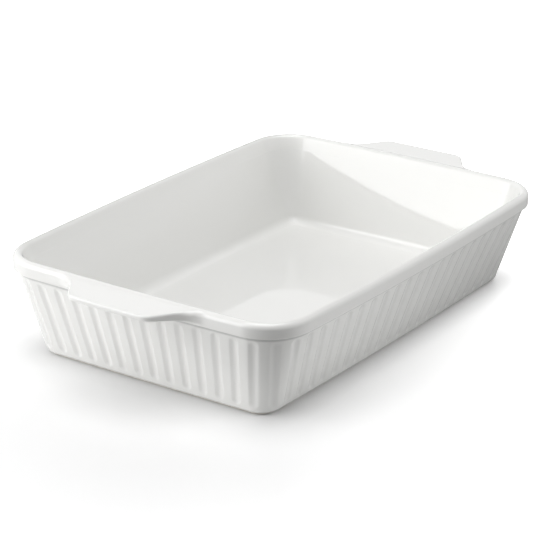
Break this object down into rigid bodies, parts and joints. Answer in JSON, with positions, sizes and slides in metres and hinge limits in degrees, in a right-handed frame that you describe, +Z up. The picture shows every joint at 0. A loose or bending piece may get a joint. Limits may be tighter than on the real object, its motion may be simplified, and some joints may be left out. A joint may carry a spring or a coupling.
{
  "type": "lasagna dish",
  "caption": "Deep rectangular glazed baking dish with fluted, drafted walls, a rolled rim band, a flat tab handle on each short end and a low bare foot ring.",
  "frame": {"origin": "on the table the dish stands on, under the middle of the dish", "axes": "+X along the long side from handle_left to handle_right, +Y along the short side, +Z up"},
  "size_m": [0.377, 0.235, 0.07],
  "materials": {
    "glazed_wall": "gloss",
    "glazed_rim": "gloss",
    "glazed_handle": "gloss",
    "bare_foot": "matt, bare of glaze"
  },
  "bodies": {
    "root": {"basin": "glazed_wall", "rim": "glazed_rim", "handle_left": "glazed_handle", "handle_right": "glazed_handle", "foot_ring": "bare_foot"}
  },
  "joints": []
}
